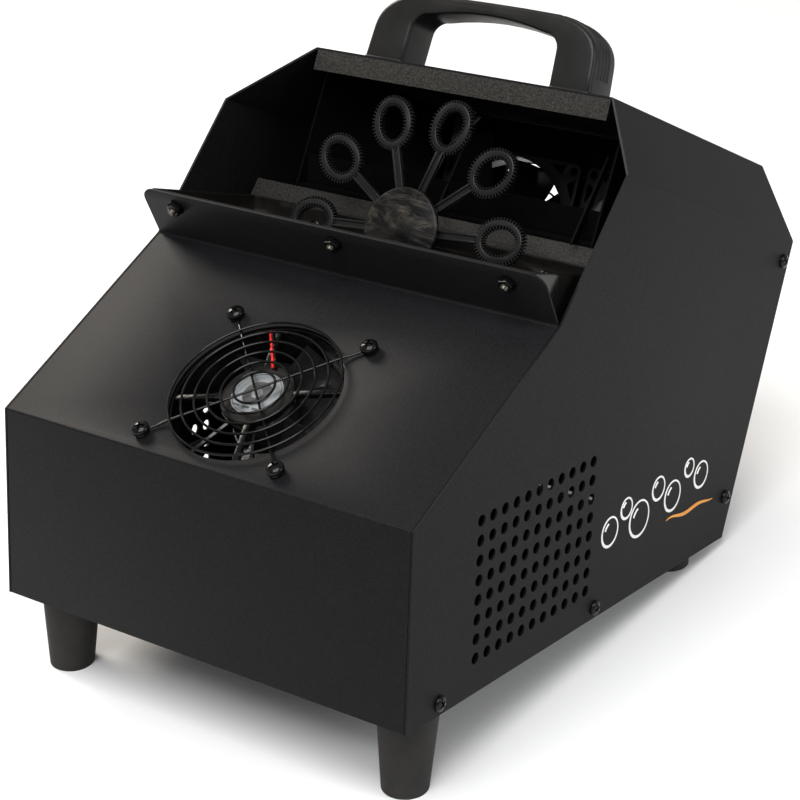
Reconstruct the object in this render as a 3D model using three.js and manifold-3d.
// A bubble machine: a folded sheet-metal housing with a dipping wand wheel, a fluid tank and three fans.
// Millimetres. The housing is drawn square to its own bottom plate (x to the right seen from the front,
// y from the front panel to the rear, z up from the plate's underside) and then leans back on its feet.

import * as THREE from 'three';
import Module from 'manifold-3d';
import { mergeVertices } from 'three/addons/utils/BufferGeometryUtils.js';

const wasm = await Module();
wasm.setup();

// ---------------------------------------------------------------- driving dimensions

const WIDTH = 250;
const SHEET = 1.2;
const GAP = 0.3;
const HALF = WIDTH / 2;
const INNER_HALF = HALF - SHEET - GAP;

// Side view of the housing as [y, z].
const FRONT_TOP = [0, 100];
const SLOPE_TOP = [115.6, 167.7];
const SIDE_PEAK = [170.4, 230.8];
const TOP_FRONT = [208, 258];
const TOP_REAR = [381, 193];
const SIDE_REAR = [361, 159.5];
const BASE_REAR = [304, 0];
const CHAMFER_INSET = 32.5;
const LIP_HEIGHT = 31.5;
const LIP_CORNER = 8;
const FLANGE = 12;

const VENT_COLUMNS = 11;
const VENT_ROWS = 8;
const VENT_PITCH = 10;
const VENT_FIRST = [55, 18.5];
const VENT_RADIUS = 3;
const VENT_SIDES = 6;
const SIDE_SCREWS = [[26, 6.4], [165, 6], [303, 24.5], [350, 150]];

const FOOT_X = 107;
const FRONT_FOOT = { y: 27, height: 43.4, top: 15.8, bottom: 11.6 };
const REAR_FOOT = { y: 275, height: 10, top: 12.5, bottom: 12 };
const LEAN = Math.atan2(FRONT_FOOT.height - REAR_FOOT.height, REAR_FOOT.y - FRONT_FOOT.y);

const FAN_SIZE = 92;
const FAN_DEPTH = 25;
const FAN_BORE = 43.6;
const FAN_CORNER = 5;
const FAN_HOLE_PITCH = 82.5 / 2;
const FAN_HUB = 18.5;
const FAN_BLADES = 7;
const FAN_TIP = 42;
const STRUT_DEPTH = 3.5;
const FRONT_FAN_ALONG_SLOPE = 51;
const PANEL_FAN_HOLE = 44.5;
const GUARD_RINGS = [44, 37.3, 30.6, 23.9, 17.2, 10.5];
const GUARD_WIRE = 1.5;
const GUARD_LIFT = 2.2;
const REAR_FAN_X = 47.9;
const REAR_FAN_ALONG = 140.75;

const WHEEL_CENTRE = [0, 164, 181.6];
const WAND_COUNT = 10;
const WAND_PHASE = THREE.MathUtils.degToRad(4.5);
const RING_RADIUS = 57.5;
const RING_OUTER = [14.2, 12.1];
const RING_INNER = [9.5, 7];
const WAND_THICKNESS = 3.6;
const WAND_ARM = 4.5;
const HUB_RADIUS = 22;
const SHAFT_RADIUS = 3;
const MOTOR_START = 42;

const LIP_BOLT_X = [-102, 0, 102];
const LIP_BOLT_UP = 23;
const BOLT_RADIUS = 2;
const NUT_FLATS = 7;
const TANK_HALF = 118.3;
const SUMP_HALF = 87;
const TANK_WALL = 2;
const DUCT_WALL_X = 93.5;

// ---------------------------------------------------------------- directions and planes

const vec = (x, y, z) => new THREE.Vector3(x, y, z);
const X_AXIS = vec(1, 0, 0);

function planeFrame(origin, yDir, zDir) {
  // A frame lying on a panel: u along x, v up the panel, n out of it.
  const v = vec(0, yDir, zDir).normalize();
  const n = new THREE.Vector3().crossVectors(X_AXIS, v);
  return new THREE.Matrix4().makeBasis(X_AXIS, v, n).setPosition(origin);
}

const slopeRun = SLOPE_TOP[0] - FRONT_TOP[0];
const slopeRise = SLOPE_TOP[1] - FRONT_TOP[1];
const slopeLength = Math.hypot(slopeRun, slopeRise);
const SLOPE = planeFrame(vec(0, ...FRONT_TOP), slopeRun, slopeRise);

const lipDir = [-slopeRise / slopeLength, slopeRun / slopeLength];
const LIP_TOP = [SLOPE_TOP[0] + LIP_HEIGHT * lipDir[0], SLOPE_TOP[1] + LIP_HEIGHT * lipDir[1]];
const LIP = planeFrame(vec(0, ...SLOPE_TOP), lipDir[0], lipDir[1]);

const topRun = TOP_REAR[0] - TOP_FRONT[0];
const topFall = TOP_FRONT[1] - TOP_REAR[1];
const topLength = Math.hypot(topRun, topFall);
// Across the bends of the cover: u along x, v square to the top, n forwards and up.
const bendUp = [topFall / topLength, topRun / topLength];
const BEND = planeFrame(vec(0, 0, 0), bendUp[0], bendUp[1]);
const acrossBend = (point) => point[0] * bendUp[0] + point[1] * bendUp[1];
const CHAMFER_LOW = acrossBend(SIDE_PEAK);
const TOP_LEVEL = acrossBend(TOP_FRONT);

const REAR = planeFrame(vec(0, ...BASE_REAR), 0.345, 0.9385);
const WHEEL = planeFrame(vec(...WHEEL_CENTRE), bendUp[0], bendUp[1]);

function rearPoint(along, forward) {
  // [y, z] of a point up the rear panel and in front of it. The frame's n points forwards and up.
  const p = vec(0, along, forward).applyMatrix4(REAR);
  return [p.y, p.z];
}

// ---------------------------------------------------------------- solids

function signedVolume(geometry) {
  const p = geometry.attributes.position;
  const index = geometry.index;
  let sum = 0;
  for (let i = 0; i < index.count; i += 3) {
    const a = vec(0, 0, 0).fromBufferAttribute(p, index.getX(i));
    const b = vec(0, 0, 0).fromBufferAttribute(p, index.getX(i + 1));
    const c = vec(0, 0, 0).fromBufferAttribute(p, index.getX(i + 2));
    sum += a.dot(b.cross(c));
  }
  return sum;
}

function solid(geometry, matrix = new THREE.Matrix4()) {
  const source = geometry.clone();
  source.deleteAttribute('normal');
  source.deleteAttribute('uv');
  source.applyMatrix4(matrix);
  const merged = mergeVertices(source, 1e-4);
  const triangles = Uint32Array.from(merged.index.array);
  if (signedVolume(merged) < 0) {
    for (let i = 0; i < triangles.length; i += 3) {
      [triangles[i], triangles[i + 1]] = [triangles[i + 1], triangles[i]];
    }
  }
  const vertices = Float32Array.from(merged.attributes.position.array);
  return new wasm.Manifold(new wasm.Mesh({ numProp: 3, vertProperties: vertices, triVerts: triangles }));
}

function joinAll(solids) {
  return solids.reduce((sum, next) => sum.add(next));
}

function outline(points) {
  return new THREE.Shape(points.map(([a, b]) => new THREE.Vector2(a, b)));
}

function extrude(shape, depth, curveSegments = 6) {
  return new THREE.ExtrudeGeometry(shape, { depth, bevelEnabled: false, curveSegments });
}

// A side-view outline of [y, z] points, carried along x.
const ALONG_X = new THREE.Matrix4().makeBasis(vec(0, 1, 0), vec(0, 0, 1), vec(1, 0, 0));

function prismX(points, from, to) {
  const matrix = new THREE.Matrix4().makeTranslation(from, 0, 0).multiply(ALONG_X);
  return solid(extrude(outline(points), to - from), matrix);
}

function slab(frame, shape, low, high, curveSegments) {
  // An outline in a frame's (u, v), from n = low to n = high.
  const lift = new THREE.Matrix4().makeTranslation(0, 0, low);
  return solid(extrude(shape, high - low, curveSegments), frame.clone().multiply(lift));
}

function block(frame, u, v, n) {
  const geometry = new THREE.BoxGeometry(u[1] - u[0], v[1] - v[0], n[1] - n[0]);
  geometry.translate((u[0] + u[1]) / 2, (v[0] + v[1]) / 2, (n[0] + n[1]) / 2);
  return solid(geometry, frame);
}

function turned(frame, profile, segments = 16, u = 0, v = 0) {
  // A profile of [radius, n] points, turned about the frame's normal at (u, v).
  const geometry = new THREE.LatheGeometry(profile.map(([r, n]) => new THREE.Vector2(r, n)), segments);
  geometry.rotateX(Math.PI / 2);
  geometry.translate(u, v, 0);
  return solid(geometry, frame);
}

function rod(frame, radius, low, high, segments = 16, u = 0, v = 0) {
  return turned(frame, [[0, low], [radius, low], [radius, high], [0, high]], segments, u, v);
}

function bentSheet(points, thickness) {
  // A side-view outline of a folded sheet: the points are its outer side, and the metal is on their right.
  const inner = points.map((point, i) => {
    const before = points[Math.max(i - 1, 0)];
    const after = points[Math.min(i + 1, points.length - 1)];
    const inDir = vec(point[0] - before[0], point[1] - before[1], 0).normalize();
    const outDir = vec(after[0] - point[0], after[1] - point[1], 0).normalize();
    if (i === 0) inDir.copy(outDir);
    if (i === points.length - 1) outDir.copy(inDir);
    const normal = vec(inDir.y + outDir.y, -inDir.x - outDir.x, 0).normalize();
    const reach = thickness / normal.dot(vec(inDir.y, -inDir.x, 0));
    return [point[0] + normal.x * reach, point[1] + normal.y * reach];
  });
  return [...points, ...inner.reverse()];
}

function roundedRectangle(halfWidth, halfHeight, radius) {
  const shape = new THREE.Shape();
  shape.moveTo(-halfWidth + radius, -halfHeight);
  shape.lineTo(halfWidth - radius, -halfHeight);
  shape.absarc(halfWidth - radius, -halfHeight + radius, radius, -Math.PI / 2, 0);
  shape.lineTo(halfWidth, halfHeight - radius);
  shape.absarc(halfWidth - radius, halfHeight - radius, radius, 0, Math.PI / 2);
  shape.lineTo(-halfWidth + radius, halfHeight);
  shape.absarc(-halfWidth + radius, halfHeight - radius, radius, Math.PI / 2, Math.PI);
  shape.lineTo(-halfWidth, -halfHeight + radius);
  shape.absarc(-halfWidth + radius, -halfHeight + radius, radius, Math.PI, Math.PI * 1.5);
  return shape;
}

const moved = (frame, u, v, n = 0) => frame.clone().multiply(new THREE.Matrix4().makeTranslation(u, v, n));
const spun = (frame, angle) => frame.clone().multiply(new THREE.Matrix4().makeRotationZ(angle));

// ---------------------------------------------------------------- materials and the machine itself

const finish = (color, roughness, metalness = 0) => ({ color, roughness, metalness });
const POWDER_COAT = finish(0x26272a, 0.62, 0.1);
const BLACK_PLASTIC = finish(0x1a1a1c, 0.45);
const GLOSS_PLASTIC = finish(0x141416, 0.2);
const RUBBER = finish(0x2a2826, 0.85);
const BLACK_STEEL = finish(0x18181a, 0.3, 0.8);
const STEEL = finish(0x9a9a9c, 0.3, 1);

const machine = new THREE.Group();
const housing = new THREE.Group();
housing.rotation.x = -LEAN;
machine.add(housing);

function addPart(name, body, look) {
  const mesh = body.getMesh();
  const geometry = new THREE.BufferGeometry();
  geometry.setAttribute('position', new THREE.BufferAttribute(Float32Array.from(mesh.vertProperties), 3));
  geometry.setIndex(new THREE.BufferAttribute(Uint32Array.from(mesh.triVerts), 1));
  geometry.computeVertexNormals();
  const part = new THREE.Mesh(geometry, new THREE.MeshStandardMaterial(look));
  part.name = name;
  housing.add(part);
}

// ---------------------------------------------------------------- sheet metal

function basePlate() {
  const plate = prismX([[1.8, 0], [BASE_REAR[0] - 2, 0], [BASE_REAR[0] - 2, SHEET], [1.8, SHEET]],
    -INNER_HALF + SHEET, INNER_HALF - SHEET);
  const flange = [[16, 0], [284, 0], [284, FLANGE], [16, FLANGE]];
  const right = prismX(flange, INNER_HALF - 2 * SHEET, INNER_HALF - SHEET);
  const left = prismX(flange, -INNER_HALF + SHEET, -INNER_HALF + 2 * SHEET);
  return joinAll([plate, right, left]);
}

function lipCorner(side) {
  // What the rounded top corner of the lip leaves out.
  const cornerX = side * INNER_HALF;
  const shape = new THREE.Shape();
  shape.moveTo(cornerX + side, LIP_HEIGHT + 1);
  shape.lineTo(cornerX - side * LIP_CORNER, LIP_HEIGHT + 1);
  shape.lineTo(cornerX - side * LIP_CORNER, LIP_HEIGHT);
  const start = Math.PI / 2;
  const end = side > 0 ? 0 : Math.PI;
  shape.absarc(cornerX - side * LIP_CORNER, LIP_HEIGHT - LIP_CORNER, LIP_CORNER, start, end, side > 0);
  shape.lineTo(cornerX + side, LIP_HEIGHT - LIP_CORNER);
  return slab(LIP, shape, -2 * SHEET, SHEET);
}

function frontPanel() {
  const skin = prismX(bentSheet([[0, 0], FRONT_TOP, SLOPE_TOP, LIP_TOP], SHEET), -INNER_HALF, INNER_HALF);
  const flangeOutline = bentSheet([[0, FLANGE + 3], FRONT_TOP, SLOPE_TOP], FLANGE);
  const right = prismX(flangeOutline, INNER_HALF - SHEET, INNER_HALF);
  const left = prismX(flangeOutline, -INNER_HALF, -INNER_HALF + SHEET);
  let panel = joinAll([skin, right, left]);
  panel = panel.subtract(lipCorner(1)).subtract(lipCorner(-1));
  panel = panel.subtract(rod(SLOPE, PANEL_FAN_HOLE, -5, 5, 32, 0, FRONT_FAN_ALONG_SLOPE));
  for (const x of LIP_BOLT_X) {
    panel = panel.subtract(rod(LIP, BOLT_RADIUS + GAP, -5, 5, 8, x, LIP_BOLT_UP));
  }
  return panel;
}

function ventHoles(from, to) {
  const holes = [];
  for (let column = 0; column < VENT_COLUMNS; column += 1) {
    for (let row = 0; row < VENT_ROWS; row += 1) {
      const drill = new THREE.CylinderGeometry(VENT_RADIUS, VENT_RADIUS, to - from, VENT_SIDES);
      drill.rotateZ(Math.PI / 2);
      drill.translate((from + to) / 2, VENT_FIRST[0] + column * VENT_PITCH, VENT_FIRST[1] + row * VENT_PITCH);
      holes.push(solid(drill));
    }
  }
  return joinAll(holes);
}

function sidePanel(side) {
  const seam = 2 * GAP;
  const points = [
    [0, 0], FRONT_TOP, SLOPE_TOP,
    [SIDE_PEAK[0] - seam / 2, SIDE_PEAK[1] - seam], [SIDE_REAR[0], SIDE_REAR[1] - seam], BASE_REAR,
  ];
  const inner = side * (HALF - SHEET);
  const outer = side * HALF;
  const low = Math.min(inner, outer);
  const high = Math.max(inner, outer);
  return prismX(points, low, high).subtract(ventHoles(low - 1, high + 1));
}

function topCover() {
  // The top and its two chamfers are bent across, then trimmed to the side view.
  const outer = [[-HALF, CHAMFER_LOW], [-HALF + CHAMFER_INSET, TOP_LEVEL],
    [HALF - CHAMFER_INSET, TOP_LEVEL], [HALF, CHAMFER_LOW]];
  const sheet = slab(BEND, outline(bentSheet(outer, SHEET)), -400, 0);
  const farBack = [SIDE_REAR[0] + 1, SIDE_REAR[1] + 2 * GAP];
  const trim = prismX([[SIDE_PEAK[0], SIDE_PEAK[1] + GAP], TOP_FRONT, TOP_REAR, farBack], -HALF, HALF);
  const flangeEnd = [TOP_FRONT[0] - FLANGE * bendUp[0], TOP_FRONT[1] - FLANGE * bendUp[1]];
  const flangeX = HALF - CHAMFER_INSET - SHEET;
  const flange = prismX(bentSheet([flangeEnd, TOP_FRONT], SHEET), -flangeX, flangeX);
  return sheet.intersect(trim).add(flange);
}

const REAR_LIFT = 0.5;
const INLET = { u: -78, v: 36, width: 27.4, height: 19.6 };
const SWITCH = { u: -34, v: 36, width: 20.6, height: 27 };

function rearPanel() {
  const edge = INNER_HALF - SHEET - GAP;
  const shape = outline([[edge, 2], [edge, 168.2], [91.6, 204.8], [-91.6, 204.8], [-edge, 168.2], [-edge, 2]]);
  const skin = slab(REAR, shape, REAR_LIFT, REAR_LIFT + SHEET);
  const flangeRight = block(REAR, [edge - SHEET, edge], [14, 166], [REAR_LIFT, REAR_LIFT + FLANGE]);
  const flangeLeft = block(REAR, [-edge, -edge + SHEET], [14, 166], [REAR_LIFT, REAR_LIFT + FLANGE]);
  let panel = joinAll([skin, flangeRight, flangeLeft]);
  for (const x of [-REAR_FAN_X, REAR_FAN_X]) {
    panel = panel.subtract(rod(REAR, FAN_BORE, -5, 5, 28, x, REAR_FAN_ALONG));
  }
  for (const cut of [INLET, SWITCH]) {
    panel = panel.subtract(block(REAR, [cut.u - cut.width / 2, cut.u + cut.width / 2],
      [cut.v - cut.height / 2, cut.v + cut.height / 2], [-5, 5]));
  }
  return panel;
}

const FAN_FRONT_FACE = REAR_LIFT + SHEET + GAP + FAN_DEPTH;
const DUCT_FLOOR = [[194.9, 184.8], [240, 184.8], rearPoint(92, FAN_FRONT_FACE + 1)];

function airDuct() {
  const sunk = DUCT_FLOOR.map(([y, z]) => [y, z - SHEET / 2]);
  const wallOutline = [
    [193.5, sunk[0][1]], [217.5, 239], [221, 247.4],
    rearPoint(202, FAN_FRONT_FACE + 1), sunk[2], sunk[1],
  ];
  const right = prismX(wallOutline, DUCT_WALL_X - SHEET / 2, DUCT_WALL_X + SHEET / 2);
  const left = prismX(wallOutline, -DUCT_WALL_X - SHEET / 2, -DUCT_WALL_X + SHEET / 2);
  const floorReach = DUCT_WALL_X + SHEET / 2;
  const floor = prismX(bentSheet(DUCT_FLOOR, SHEET), -floorReach, floorReach);
  return joinAll([right, left, floor]);
}

const GUIDE_LOW = 185.2;
const GUIDE_TOP = 200.5;
const GUIDE_Y = 202;

function airGuide() {
  const reach = DUCT_WALL_X - SHEET / 2 - GAP;
  const strip = [[GUIDE_Y, GUIDE_LOW], [GUIDE_Y + SHEET, GUIDE_LOW], [GUIDE_Y + SHEET, GUIDE_TOP],
    [GUIDE_Y, GUIDE_TOP]];
  const baffle = prismX(strip, -reach, reach);
  const divider = prismX([[191, GUIDE_LOW], [218, 220.7], [243, 220.7], [243, GUIDE_LOW]],
    -SHEET / 2, SHEET / 2);
  const finX = 85;
  const fin = prismX([[187.2, GUIDE_LOW], [219.5, 224.7], [223.5, 224.7], [193, GUIDE_LOW]],
    finX - SHEET / 2, finX + SHEET / 2);
  return joinAll([baffle, divider, fin]);
}

// ---------------------------------------------------------------- tank, ledge and drive

function tankShape(inset, top) {
  // The basin's side views, shrunk by its wall for the hollow: wide shallow ends and a deep middle.
  const lipBack = GAP + SHEET + inset;
  const alongLip = (up) => [SLOPE_TOP[0] + lipDir[0] * up + lipDir[1] * lipBack,
    SLOPE_TOP[1] + lipDir[1] * up - lipDir[0] * lipBack];
  const rimFront = alongLip(LIP_HEIGHT - 1 + top);
  const rear = 187.7 - inset;
  const ends = [rimFront, alongLip(-4), [130 + inset, 160 + inset], [rear, 162 + inset], [rear, 175 + top]];
  const sump = [rimFront, alongLip(-4), [124 + inset, 140], [127 + inset, 100 + inset],
    [160 - inset, 100 + inset], [rear, 146 + inset], [rear, 175 + top]];
  return joinAll([
    prismX(ends, -TANK_HALF + inset, TANK_HALF - inset),
    prismX(sump, -SUMP_HALF + inset, SUMP_HALF - inset),
  ]);
}

function bubbleTank() {
  const shaftNotch = rod(WHEEL, SHAFT_RADIUS + 3, -40, 0, 12);
  return tankShape(0, 0).subtract(tankShape(TANK_WALL, 30)).subtract(shaftNotch);
}

function rearLedge() {
  const reach = INNER_HALF - 2 * SHEET - GAP;
  const outer = [[188.2, 105], [188.2, 175.7], [194.2, 183.6]];
  const shaftHole = rod(WHEEL, SHAFT_RADIUS + 3, -60, 0, 12);
  return prismX(bentSheet(outer, SHEET), -reach, reach).subtract(shaftHole);
}

function motorBracket() {
  // A plate square to the wheel's axle, bent down flat against the ledge.
  const reach = 26;
  const plate = block(WHEEL, [-reach, reach], [-30, 12], [-MOTOR_START + GAP, -MOTOR_START + GAP + 1.4]);
  const foot = prismX([[189.8, 108], [191.2, 108], [191.2, 136], [193.8, 139], [193.8, 142], [189.8, 138]],
    -reach, reach);
  return plate.add(foot).subtract(rod(WHEEL, SHAFT_RADIUS + 3, -60, 0, 12));
}

function gearMotor() {
  const offset = -7;
  const gearbox = turned(WHEEL, [[0, -MOTOR_START - 24], [18.5, -MOTOR_START - 24], [18.5, -MOTOR_START],
    [0, -MOTOR_START]], 20, 0, offset);
  const can = turned(WHEEL, [[0, -MOTOR_START - 54], [15.5, -MOTOR_START - 54], [17, -MOTOR_START - 52],
    [17, -MOTOR_START - 23], [0, -MOTOR_START - 23]], 20, 0, offset);
  return gearbox.add(can);
}

function wandShape() {
  const ring = new THREE.Shape();
  ring.absellipse(RING_RADIUS, 0, RING_OUTER[0], RING_OUTER[1], 0, Math.PI * 2, false);
  const hole = new THREE.Path();
  hole.absellipse(RING_RADIUS, 0, RING_INNER[0], RING_INNER[1], 0, Math.PI * 2, true);
  ring.holes.push(hole);
  return ring;
}

function bubbleWheel() {
  const half = WAND_THICKNESS / 2;
  const armEnd = RING_RADIUS - RING_OUTER[0] + 1.5;
  const pieces = [rod(WHEEL, 14, -half, half, 20)];
  for (let i = 0; i < WAND_COUNT; i += 1) {
    const frame = spun(WHEEL, WAND_PHASE + (i * 2 * Math.PI) / WAND_COUNT);
    pieces.push(slab(frame, wandShape(), -half, half, 9));
    pieces.push(block(frame, [12, armEnd], [-WAND_ARM / 2, WAND_ARM / 2], [-half + 0.2, half - 0.2]));
  }
  pieces.push(rod(WHEEL, SHAFT_RADIUS + 3, -14, 0, 16));
  return joinAll(pieces).subtract(rod(WHEEL, SHAFT_RADIUS + GAP, -15, -half, 16));
}

function hubCap() {
  const back = WAND_THICKNESS / 2 + GAP;
  return turned(WHEEL, [[0, back], [HUB_RADIUS, back], [HUB_RADIUS, back + 2.4], [HUB_RADIUS - 1, back + 3.2],
    [0, back + 3.2]], 32);
}

function driveShaft() {
  return rod(WHEEL, SHAFT_RADIUS, -MOTOR_START + GAP, -WAND_THICKNESS / 2 - GAP, 12);
}

// ---------------------------------------------------------------- fans

function fanFrame(frame, strutsUp) {
  // The fan lies from n = -FAN_DEPTH to n = 0, with its struts at the top face or the bottom one.
  const edge = FAN_SIZE / 2;
  let body = slab(frame, roundedRectangle(edge, edge, FAN_CORNER), -FAN_DEPTH, 0, 2);
  body = body.subtract(rod(frame, FAN_BORE, -FAN_DEPTH - 1, 1, 24));
  const waist = new THREE.Shape();
  waist.absarc(0, 0, FAN_BORE + 18, 0, Math.PI * 2, false);
  const hollow = new THREE.Path();
  hollow.absarc(0, 0, FAN_BORE + 2.2, 0, Math.PI * 2, true);
  waist.holes.push(hollow);
  body = body.subtract(slab(frame, waist, -FAN_DEPTH + 4, -4, 10));
  const low = strutsUp ? -STRUT_DEPTH : -FAN_DEPTH;
  const high = low + STRUT_DEPTH;
  const struts = [rod(frame, FAN_HUB, low, high, 20)];
  for (const angle of [0.35, 1.92, 3.49, 5.06]) {
    struts.push(block(spun(frame, angle), [0, FAN_BORE + 1], [-2, 2], [low, high]));
  }
  return joinAll([body, ...struts]);
}

function fanRotor(frame, strutsUp) {
  const nearStruts = STRUT_DEPTH + 1;
  const low = strutsUp ? -FAN_DEPTH + 1 : -FAN_DEPTH + nearStruts;
  const high = strutsUp ? -nearStruts : -1;
  const hub = rod(frame, FAN_HUB, low, high, 20);
  const middle = (low + high) / 2;
  const reach = (high - low) / 2 - 1;
  const pitch = THREE.MathUtils.degToRad(48);
  const blades = [];
  for (let i = 0; i < FAN_BLADES; i += 1) {
    const radial = moved(spun(frame, (i * 2 * Math.PI) / FAN_BLADES), 0, 0, middle);
    const tilted = radial.multiply(new THREE.Matrix4().makeRotationX(pitch));
    blades.push(block(tilted, [FAN_HUB - 2, FAN_TIP - 2], [-reach / Math.sin(pitch), reach / Math.sin(pitch)],
      [-0.7, 0.7]));
  }
  return hub.add(joinAll(blades).intersect(rod(frame, FAN_TIP, low, high, 28)));
}

function guardRing(radius, low) {
  const inner = radius - GUARD_WIRE / 2;
  const outer = radius + GUARD_WIRE / 2;
  const high = low + GUARD_WIRE;
  return [[inner, low], [outer, low], [outer, high], [inner, high], [inner, low]];
}

function fanGuard(frame, side) {
  // Rings on two crossing wires, whose ends lie flat under the screws. side is +1 or -1 along n.
  const ringLow = side > 0 ? GUARD_LIFT : -GUARD_LIFT - GUARD_WIRE;
  const wireLow = side > 0 ? ringLow - GUARD_WIRE + 0.3 : ringLow + GUARD_WIRE - 0.3;
  const pieces = GUARD_RINGS.map((radius) => turned(frame, guardRing(radius, ringLow), 16));
  const reach = FAN_HOLE_PITCH * Math.SQRT2;
  const half = GUARD_WIRE / 2;
  for (const angle of [Math.PI / 4, (3 * Math.PI) / 4]) {
    const wire = spun(frame, angle);
    pieces.push(block(wire, [-reach + 5.2, reach - 5.2], [-half, half], [wireLow, wireLow + GUARD_WIRE]));
    for (const end of [-reach, reach]) {
      const eyeLow = side > 0 ? GAP : -GAP - GUARD_WIRE;
      const eye = [[2.2, eyeLow], [4.2, eyeLow], [4.2, eyeLow + GUARD_WIRE], [2.2, eyeLow + GUARD_WIRE],
        [2.2, eyeLow]];
      pieces.push(turned(wire, eye, 10, end, 0));
      pieces.push(block(wire, end < 0 ? [-reach + 3.5, -reach + 7] : [reach - 7, reach - 3.5], [-half, half],
        [eyeLow, eyeLow + GUARD_WIRE]));
    }
  }
  return joinAll(pieces);
}

function panHead(frame, u, v, low, radius, height, shankDepth = 0) {
  // A domed screw head standing on n = low, with its shank below.
  const profile = [[radius, low], [radius, low + 0.35 * height], [0.8 * radius, low + 0.8 * height],
    [0.4 * radius, low + height], [0, low + height]];
  const shank = shankDepth > 0 ? [[0, low - shankDepth], [1.3, low - shankDepth], [1.3, low]] : [[0, low]];
  return turned(frame, [...shank, ...profile], 12, u, v);
}

// ---------------------------------------------------------------- handle, feet and fasteners

const HANDLE = moved(BEND, 0, TOP_LEVEL + GAP, -141.4);
const HANDLE_DEPTH = 24;
const HANDLE_HALF = 70.5;
const GRIP_HALF = 46;
const HANDLE_HEIGHT = 39.5;
const GRIP_SIDE_HEIGHT = 27;
const GRIP_TOP_HEIGHT = 32.5;

function handle() {
  const arch = new THREE.Shape();
  arch.moveTo(-HANDLE_HALF, 0);
  arch.lineTo(-HANDLE_HALF + 1.5, 18);
  arch.bezierCurveTo(-HANDLE_HALF + 2.5, 31, -HANDLE_HALF + 14, 37, -GRIP_HALF + 4, HANDLE_HEIGHT - 0.6);
  arch.lineTo(0, HANDLE_HEIGHT);
  arch.lineTo(GRIP_HALF - 4, HANDLE_HEIGHT - 0.6);
  arch.bezierCurveTo(HANDLE_HALF - 14, 37, HANDLE_HALF - 2.5, 31, HANDLE_HALF - 1.5, 18);
  arch.lineTo(HANDLE_HALF, 0);
  arch.lineTo(GRIP_HALF, 0);
  arch.lineTo(GRIP_HALF - 1, 20);
  arch.quadraticCurveTo(GRIP_HALF - 2, GRIP_SIDE_HEIGHT, GRIP_HALF - 10, GRIP_SIDE_HEIGHT + 1.5);
  arch.quadraticCurveTo(0, GRIP_TOP_HEIGHT + 3, -GRIP_HALF + 10, GRIP_SIDE_HEIGHT + 1.5);
  arch.quadraticCurveTo(-GRIP_HALF + 2, GRIP_SIDE_HEIGHT, -GRIP_HALF + 1, 20);
  arch.lineTo(-GRIP_HALF, 0);
  return slab(HANDLE, arch, 0, HANDLE_DEPTH, 5);
}

const UPRIGHT = new THREE.Matrix4();
const floorLevel = -FRONT_FOOT.y * Math.sin(LEAN) - FRONT_FOOT.height * Math.cos(LEAN);

function foot(x, spec) {
  // Tapered rubber, square to the bottom plate, and cut level where it stands.
  const long = spec.height + 4;
  const taper = (spec.top - spec.bottom) / spec.height;
  const tip = spec.bottom - taper * 4;
  const body = turned(moved(UPRIGHT, x, spec.y), [[0, -long], [tip, -long], [spec.top, -GAP], [0, -GAP]], 24);
  const ground = new THREE.Matrix4().makeRotationX(LEAN);
  const above = block(ground, [-200, 200], [-100, 400], [floorLevel, 100]);
  return body.intersect(above);
}

function hexNut(frame, u, v, low, height) {
  const corner = NUT_FLATS / Math.sqrt(3);
  const shape = new THREE.Shape();
  for (let i = 0; i < 6; i += 1) {
    const angle = (i * Math.PI) / 3;
    const point = [corner * Math.cos(angle), corner * Math.sin(angle)];
    if (i === 0) shape.moveTo(...point);
    else shape.lineTo(...point);
  }
  const hole = new THREE.Path();
  hole.absarc(0, 0, BOLT_RADIUS + GAP, 0, Math.PI * 2, true);
  shape.holes.push(hole);
  return slab(moved(frame, u, v), shape, low, low + height, 4);
}

function lipBolt(x) {
  // The head is on the tank side of the lip, and the thread stands out of the nut in front.
  const tankFace = -SHEET - GAP - TANK_WALL;
  return turned(LIP, [[0, tankFace - 3], [3.5, tankFace - 3], [3.5, tankFace - GAP], [BOLT_RADIUS, tankFace - GAP],
    [BOLT_RADIUS, 7.4], [0, 7.4]], 8, x, LIP_BOLT_UP);
}

function boltHolesThroughTank(tank) {
  let drilled = tank;
  for (const x of LIP_BOLT_X) {
    drilled = drilled.subtract(rod(LIP, BOLT_RADIUS + GAP, -6, 2, 8, x, LIP_BOLT_UP));
  }
  return drilled;
}

function sideFrame(side) {
  // Looking at a side panel from outside: u along y, v up, n outwards.
  const u = side > 0 ? vec(0, 1, 0) : vec(0, -1, 0);
  return new THREE.Matrix4().makeBasis(u, vec(0, 0, 1), vec(side, 0, 0)).setPosition(vec(side * HALF, 0, 0));
}

const TANK_SCREW = { x: 73, z: 166 };
const TANK_REAR = new THREE.Matrix4().makeBasis(vec(1, 0, 0), vec(0, 0, 1), vec(0, -1, 0));
const TANK_REAR_FACE = -(187.7 - TANK_WALL);

// ---------------------------------------------------------------- mains parts

function powerInlet() {
  const half = [INLET.width / 2 - GAP, INLET.height / 2 - GAP];
  const flange = block(moved(REAR, INLET.u, INLET.v), [-half[0] - 3, half[0] + 3], [-half[1] - 3, half[1] + 3],
    [-2, REAR_LIFT - GAP]);
  const barrel = block(moved(REAR, INLET.u, INLET.v), [-half[0], half[0]], [-half[1], half[1]], [-2, 22]);
  const socket = block(moved(REAR, INLET.u, INLET.v), [-12, 12], [-8.2, 8.2], [-3, 18]);
  return flange.add(barrel).subtract(socket);
}

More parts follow.
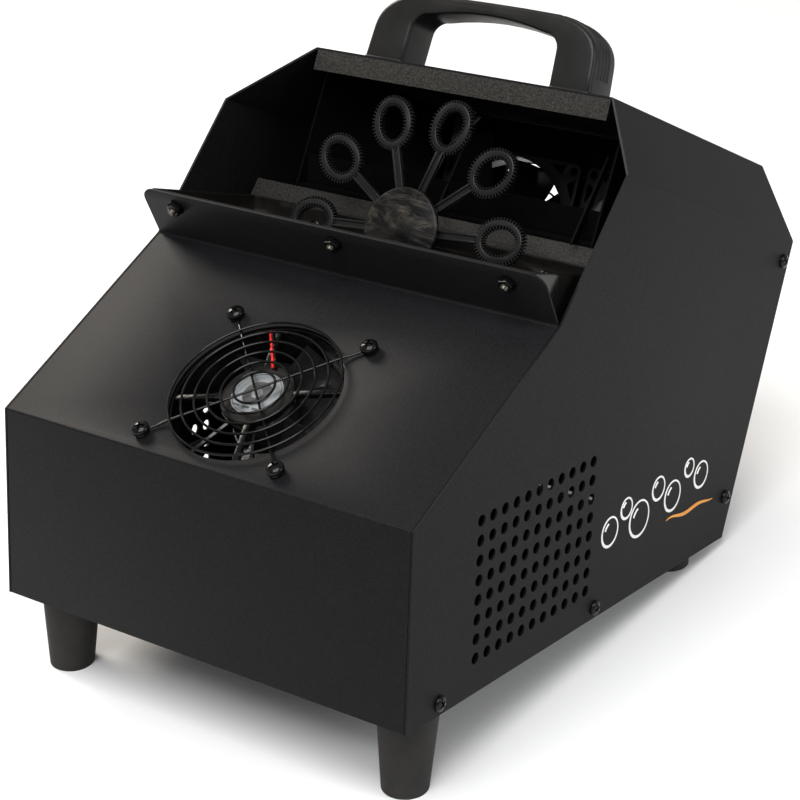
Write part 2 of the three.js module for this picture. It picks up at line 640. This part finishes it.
function switchHousing() {
  const half = [SWITCH.width / 2 - GAP, SWITCH.height / 2 - GAP];
  const place = moved(REAR, SWITCH.u, SWITCH.v);
  const flange = block(place, [-half[0] - 1.5, half[0] + 1.5], [-half[1] - 1.5, half[1] + 1.5],
    [-2, REAR_LIFT - GAP]);
  const barrel = block(place, [-half[0], half[0]], [-half[1], half[1]], [-2, 18]);
  const well = block(place, [-half[0] + 2, half[0] - 2], [-half[1] + 2, half[1] - 2], [-3, 12]);
  return flange.add(barrel).subtract(well);
}

function powerRocker() {
  // A shallow V seen from the side, rocked to its off position.
  const half = [SWITCH.width / 2 - GAP - 2.5, SWITCH.height / 2 - GAP - 4];
  const side = [[-half[1], -0.4], [0, -2.4], [half[1], -4.6], [half[1], -1], [2, 5], [-2, 5], [-half[1], 2.6]];
  const place = moved(REAR, SWITCH.u, SWITCH.v);
  const geometry = extrude(outline(side), 2 * half[0]);
  const turn = new THREE.Matrix4().makeBasis(vec(0, 1, 0), vec(0, 0, 1), vec(1, 0, 0));
  const shift = new THREE.Matrix4().makeTranslation(-half[0], 0, 0);
  return solid(geometry, place.clone().multiply(shift).multiply(turn));
}

function powerSupply() {
  const plate = moved(UPRIGHT, -58, 205, 0);
  const can = block(plate, [-44, 44], [-34, 34], [5, 38]);
  const feet = [[-36, -26], [36, -26], [-36, 26], [36, 26]];
  return joinAll([can, ...feet.map(([u, v]) => rod(plate, 3, SHEET + GAP, 6, 8, u, v))]);
}

function terminalBlock() {
  const place = moved(UPRIGHT, 40, 200, SHEET + GAP);
  const base = block(place, [-30, 30], [-9, 9], [0, 6]);
  const towers = [];
  for (let i = 0; i < 5; i += 1) {
    towers.push(block(place, [-27 + i * 12, -21 + i * 12], [-8, 8], [5, 15]));
  }
  return joinAll([base, ...towers]);
}

// ---------------------------------------------------------------- assembly

addPart('base_plate', basePlate(), POWDER_COAT);
addPart('front_panel', frontPanel(), POWDER_COAT);
addPart('side_panel_left', sidePanel(-1), POWDER_COAT);
addPart('side_panel_right', sidePanel(1), POWDER_COAT);
addPart('top_cover', topCover(), POWDER_COAT);
addPart('rear_panel', rearPanel(), POWDER_COAT);
addPart('air_duct', airDuct(), POWDER_COAT);
addPart('air_guide', airGuide(), POWDER_COAT);
addPart('rear_ledge', rearLedge(), POWDER_COAT);
addPart('bubble_tank', boltHolesThroughTank(bubbleTank()), GLOSS_PLASTIC);

addPart('motor_bracket', motorBracket(), STEEL);
addPart('gear_motor', gearMotor(), STEEL);
addPart('drive_shaft', driveShaft(), STEEL);
addPart('bubble_wheel', bubbleWheel(), BLACK_PLASTIC);
addPart('hub_cap', hubCap(), GLOSS_PLASTIC);

const FRONT_FAN = moved(SLOPE, 0, FRONT_FAN_ALONG_SLOPE, -SHEET - GAP);
const FRONT_GUARD = moved(SLOPE, 0, FRONT_FAN_ALONG_SLOPE);
addPart('front_fan_frame', fanFrame(FRONT_FAN, true), BLACK_PLASTIC);
addPart('front_fan_rotor', fanRotor(FRONT_FAN, true), GLOSS_PLASTIC);
addPart('front_fan_guard', fanGuard(FRONT_GUARD, 1), BLACK_STEEL);
const CORNERS = { lower_left: [-1, -1], lower_right: [1, -1], upper_left: [-1, 1], upper_right: [1, 1] };
for (const [corner, [a, b]] of Object.entries(CORNERS)) {
  const head = panHead(FRONT_GUARD, a * FAN_HOLE_PITCH, b * FAN_HOLE_PITCH, GUARD_WIRE + 2 * GAP, 4.5, 3.2);
  addPart(`front_fan_screw_${corner}`, head, BLACK_STEEL);
}

for (const [name, side] of [['left', -1], ['right', 1]]) {
  const fan = moved(REAR, side * REAR_FAN_X, REAR_FAN_ALONG, FAN_FRONT_FACE);
  addPart(`rear_fan_${name}_frame`, fanFrame(fan, false), BLACK_PLASTIC);
  addPart(`rear_fan_${name}_rotor`, fanRotor(fan, false), GLOSS_PLASTIC);
  const guard = moved(REAR, side * REAR_FAN_X, REAR_FAN_ALONG, REAR_LIFT);
  addPart(`rear_fan_${name}_guard`, fanGuard(guard, -1), BLACK_STEEL);
}

addPart('carry_handle', handle(), BLACK_PLASTIC);
for (const [name, side] of [['left', -1], ['right', 1]]) {
  addPart(`front_foot_${name}`, foot(side * FOOT_X, FRONT_FOOT), RUBBER);
  addPart(`rear_foot_${name}`, foot(side * FOOT_X, REAR_FOOT), RUBBER);
  SIDE_SCREWS.forEach(([y, z], i) => {
    const head = panHead(sideFrame(side), side * y, z, GAP / 3, 4, 2.6);
    addPart(`side_screw_${name}_${i + 1}`, head, BLACK_STEEL);
  });
  const tankScrew = panHead(TANK_REAR, side * TANK_SCREW.x, TANK_SCREW.z, TANK_REAR_FACE + GAP, 4, 2.6);
  addPart(`tank_screw_${name}`, tankScrew, BLACK_STEEL);
}
LIP_BOLT_X.forEach((x, i) => {
  addPart(`lip_bolt_${i + 1}`, lipBolt(x), STEEL);
  addPart(`lip_nut_${i + 1}`, hexNut(LIP, x, LIP_BOLT_UP, GAP, 3.2), BLACK_STEEL);
});

addPart('power_inlet', powerInlet(), BLACK_PLASTIC);
addPart('switch_housing', switchHousing(), BLACK_PLASTIC);
addPart('power_rocker', powerRocker(), GLOSS_PLASTIC);
addPart('power_supply', powerSupply(), STEEL);
addPart('terminal_block', terminalBlock(), BLACK_PLASTIC);

// Stand the machine on its feet, with the origin under the middle of its box.
housing.updateMatrixWorld(true);
const box = new THREE.Box3().setFromObject(housing, true);
housing.position.set(-(box.min.x + box.max.x) / 2, -(box.min.y + box.max.y) / 2, -box.min.z);

export default machine;
